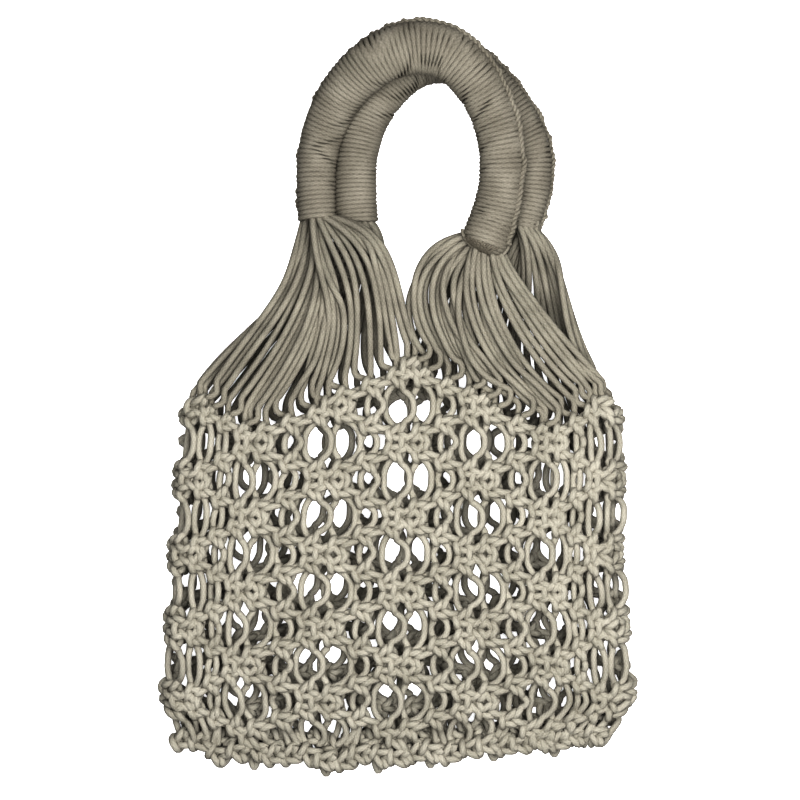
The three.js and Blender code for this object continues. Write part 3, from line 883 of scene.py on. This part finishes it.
def studio():
    """A pale floor, one large soft light over the net and a low band of weak light from all round."""
    world = bpy.data.worlds.new("studio")
    world.use_nodes = True
    background = world.node_tree.nodes["Background"]
    background.inputs["Color"].default_value = WHITE
    start = Shade(world.node_tree, None)
    direction = start.node("ShaderNodeTexCoord", output=OBJECT_OUTPUT)
    height = start.node("ShaderNodeSeparateXYZ", sockets={0: direction}, output=2)
    lowness = 1 - height.maths("ABSOLUTE", height)
    band = BAND_LIGHT * lowness * lowness * lowness
    world.node_tree.links.new((SKY_LIGHT + band).socket, background.inputs["Strength"])
    bpy.context.scene.world = world
    area_light("key", KEY_PLACE, KEY_TARGET, KEY_SIZE, KEY_POWER)
    half = FLOOR_SIZE / 2
    floor_mesh = bpy.data.meshes.new("floor")
    floor_mesh.from_pydata(
        [(-half, -half, 0), (half, -half, 0), (half, half, 0), (-half, half, 0)], [], [(0, 1, 2, 3)]
    )
    floor = bpy.data.objects.new("floor", floor_mesh)
    pale = bpy.data.materials.new("pale floor")
    pale.use_nodes = True
    surface = pale.node_tree.nodes["Principled BSDF"]
    surface.inputs["Base Color"].default_value = FLOOR_TONE
    surface.inputs["Roughness"].default_value = FLOOR_ROUGHNESS
    surface.inputs["Emission Color"].default_value = WHITE
    surface.inputs["Emission Strength"].default_value = FLOOR_GLOW
    floor_mesh.materials.append(pale)
    bpy.context.scene.collection.objects.link(floor)
    # The floor's own glow throws no light on the bag
    floor.visible_diffuse = False
    bpy.context.scene.view_settings.view_transform = "Standard"
    bpy.context.scene.view_settings.exposure = EXPOSURE
    bpy.context.scene.view_settings.gamma = GAMMA


# Grips wound with cord
def grip(name):
    """A grip: one cord wound round a core from end to end, and a spine of half hitches along its outside.

    The winding's middle runs round the oval as the turn grows while it moves along the handle. Its section
    is as deep as the cord, and a little wider than the distance to the next turn, so it is squeezed inside
    the bend.
    """
    line = handle_line(name)
    count = WRAPS * RINGS_PER_WRAP + 1
    even = even_points(line, count)
    tangent, out, up = line_axes(even)
    turn = np.arange(count)[:, None] * 2 * np.pi / RINGS_PER_WRAP
    slack = WRAP_SLACK * random.uniform(-1, 1, SLACK_PER_WRAP * WRAPS)
    loose = np.interp(np.linspace(0, 1, count), np.linspace(0, 1, len(slack)), slack)
    reach = CORD_RADIUS + loose[:, None]
    flat_part = np.cos(turn) * out * (even[:, [WIDTH]] / 2 - reach)
    across = flat_part + np.sin(turn) * up * (even[:, [DEPTH]] / 2 - reach)
    centre = even[:, :3] + across
    bend = np.sum(across * np.gradient(tangent, axis=0), axis=1, keepdims=True)
    length = lengths_along(even[:, :3])[-1]
    pitch = length / WRAPS
    stretch = np.maximum(1 - bend * (count - 1) / length, TIGHTEST_WRAP)
    half = tangent * stretch * pitch / 2 * WRAP_OVERLAP
    winding = tubes(
        f"grip_{name}_winding",
        centre[None],
        unit(across)[None] * CORD_RADIUS,
        -half[None],
        fold=WINDING_FOLD,
    )
    finish_piece(winding, wound, f"handle_{name}")

    ring = even_points(line, CORE_RINGS)
    core_out, core_up = line_axes(ring)[1:]
    core = tubes(
        f"grip_{name}_core",
        ring[None, :, :3],
        core_out[None] * (ring[:, [WIDTH]] / 2 - CORE_INSET),
        core_up[None] * (ring[:, [DEPTH]] / 2 - CORE_INSET),
        sides=CORE_SIDES,
        fold=CORE_FOLD,
    )
    finish_piece(core, wound, f"handle_{name}")

    finish_piece(spine(name, line), wound, f"handle_{name}")


def spine(name, line):
    """The spine of hitches along a grip's outer edge: two thin cords that turn round each other, half a turn
    for each turn of the winding, about a line that stands out further where a hitch is slack."""
    ring = even_points(line, WRAPS * SPINE_RINGS_PER_WRAP + 1)
    tangent, out, up = line_axes(ring)
    ridge = np.radians(ring[:, [RIDGE]])
    spoke = np.cos(ridge) * out * ring[:, [WIDTH]] / 2 + np.sin(ridge) * up * ring[:, [DEPTH]] / 2
    radial = unit(spoke)
    beside = np.cross(tangent, radial)
    wrap = np.arange(len(ring)) / SPINE_RINGS_PER_WRAP
    slack = random.uniform(0, 1, WRAPS + 1) ** SPINE_RARITY
    stand_out = SPINE_BUMP * np.interp(wrap, np.arange(WRAPS + 1), slack)[:, None] - SPINE_SINK
    middle = ring[:, :3] + spoke + stand_out * radial
    turn = np.pi * wrap[:, None]
    offset = SPINE_TWIST * (np.cos(turn) * radial + np.sin(turn) * beside)
    pair = np.stack([middle + offset, middle - offset])
    return cord_tubes(f"grip_{name}_spine", of_radius(pair, SPINE_RADIUS))


def tongue():
    """The rounded end of the front grip: cord wound over a dome, a stitched patch and a cord along its rim.

    A place on the dome is given by a share from its foot to its tip and an angle round it. The way out along
    the handle is the sine of the share, and the distance from the middle line is the cosine.
    """
    line = handle_line("front")
    tangent, out, up = (axis[-1] for axis in line_axes(line))
    foot, width, depth = line[-1, :3], line[-1, WIDTH], line[-1, DEPTH]

    def on_dome(share, angle, inset=0.0):
        """Places on the dome, or under its surface by the inset."""
        quarter = (share * np.pi / 2)[:, None]
        round_way = np.cos(angle)[:, None] * out * (width / 2 - inset)
        round_way = round_way + np.sin(angle)[:, None] * up * (depth / 2 - inset)
        forward = np.sin(quarter) * (TONGUE_LENGTH - inset) * tangent
        return foot + forward + np.cos(quarter) * round_way + np.sin(quarter) ** 2 * TONGUE_DRIFT * out

    share = np.linspace(0, 1, TONGUE_RINGS)
    spiral = on_dome(share, share * TONGUE_TURNS * 2 * np.pi, CORD_RADIUS)
    dome = cord_tubes("grip_front_tongue", of_radius(spiral[None], CORD_RADIUS))
    finish_piece(dome, wound, "handle_front")

    half_turn = np.linspace(-1, 1, RIM_RINGS)
    edge = on_dome(1 - np.abs(half_turn), np.where(half_turn < 0, np.pi, 0.0))
    rim = cord_tubes("grip_front_rim", of_radius(edge[None], RIM_RADIUS))
    finish_piece(rim, wound, "handle_front")

    along = np.linspace(0, 1, STITCH_RINGS)
    stitches = []
    for place in np.linspace(PATCH_FIRST, PATCH_LAST, STITCHES):
        leaning = place + STITCH_LEAN * along
        for reach in (PATCH_MIRROR - leaning, leaning):
            angle = np.pi * (PATCH_START + PATCH_REACH * reach)
            stitches.append(on_dome(PATCH_FOOT + PATCH_RISE * along, angle))
    patch = cord_tubes("grip_front_patch", of_radius(np.array(stitches), STITCH_RADIUS))
    finish_piece(patch, stitched, "handle_front")


# The closing row
def closing_row():
    """Square knots side by side along the bottom, each of two working and two filler cords, and loops.

    A knot's keys are turned by its tilt, scaled, and set down along the closing line. Every second one lies
    on the back, a little higher up. A loop is a smooth curve down from the line and up again.
    """
    paths = []
    for knot, x in enumerate(np.linspace(CLOSING_LINE["x"][0], CLOSING_LINE["x"][-1], CLOSING_KNOTS)):
        face = 1 if knot % 2 == 0 else -1
        y = np.interp(x, CLOSING_LINE["x"], CLOSING_LINE["y"]) + CLOSING_WAVE * np.sin(knot)
        y += CLOSING_STAGGER if face < 0 else 0
        middle = np.array([x, y, CLOSING_Z + face * CORD_RADIUS * CLOSING_LAYER])
        tilt = np.radians(CLOSING_TILT) * random.uniform(-1, 1)
        slip = CLOSING_SLIP * random.uniform(-1, 1, 3)
        for role, keys in KNOT_ROLES.items():
            inner = keys[1:-1] if role.endswith("worker") else keys
            across, down, out = CLOSING_SCALE * turned_knot(inner, tilt).T
            placed = middle + slip + np.stack([across, -down, face * out], axis=-1)
            placed[:, 2] = np.maximum(placed[:, 2], GROUND_REST)
            paths.append(even_points(smooth_path(placed, KNOT_STEPS), CLOSING_RINGS))
    knots = cord_tubes("closing_knots", of_radius(np.array(paths), KNOT_RADIUS))
    finish_piece(knots, knotted, "bottom_row")
    loops = []
    for loop in CLOSING_LOOPS:
        high = np.interp(loop["x"], CLOSING_LINE["x"], CLOSING_LINE["y"])
        low = high - CLOSING_WAIST - loop["drop"]
        half_way = (high + low) / 2
        keys = np.array(
            [
                (loop["x"] - loop["spread"], high, CLOSING_Z),
                (loop["x"] - loop["spread"], half_way, CLOSING_Z),
                (loop["x"], low, CLOSING_Z),
                (loop["x"] + loop["spread"], half_way, CLOSING_Z),
                (loop["x"] + loop["spread"], high, CLOSING_Z),
            ]
        )
        loops.append(even_points(smooth_path(keys, LOOP_STEPS), LOOP_RINGS))
    ends = cord_tubes("closing_loops", of_radius(np.array(loops), CORD_RADIUS))
    finish_piece(ends, knotted, "bottom_row")


def hang_cords():
    """All 96 cords: bare from the handles to the net, then knotted down to the closing row."""
    fans, nets = {}, {}
    for name, bundle in BUNDLES.items():
        strands = bundle["first"] + bundle["step"] * np.arange(STRANDS_PER_BUNDLE)
        keys, roles = zip(*(net_keys(int(strand)) for strand in strands))
        facing = 1 if bundle["handle"] == "front" else -1
        fans[name] = fan_paths(
            bundle["handle"], bundle["end"], bundle["lift"], bundle["shift"], bundle["sink"],
            near=np.array(bundle["near"], float),
            off=np.array(bundle["off"], float),
            meets=np.array([key[0, :3] for key in keys]),
            hooks=facing * np.array([HOOK_SWINGS[role] for role in roles]),
        )
        nets[name] = keys
    for side in ("left", "right"):
        names = [f"{face}_{side}" for face in ("front", "back")]
        both = settled(np.concatenate([fans[name] for name in names]))
        for name, fan in zip(names, np.split(both, 2)):
            fans[name] = fan
    for name in BUNDLES:
        bare_paths, knotted_paths = [], []
        for fan, keys in zip(fans[name], nets[name]):
            whole = smooth_path(np.vstack([of_radius(fan, BARE_RADIUS), keys[1:]]), CORD_STEPS)
            split = (len(fan) - 1) * CORD_STEPS
            bare_paths.append(even_points(whole[: split + 1], FAN_RINGS))
            knotted_paths.append(even_points(whole[split:], NET_RINGS))
        cords = cord_tubes(f"cords_{name}", np.array(bare_paths))
        finish_piece(cords, bare, f"strands_{name}")
        net = cord_tubes(f"net_{name}", np.array(knotted_paths))
        finish_piece(net, knotted, "net")


look_from_above()
studio()
hang_cords()
for handle in HANDLES:
    grip(handle)
tongue()
closing_row()
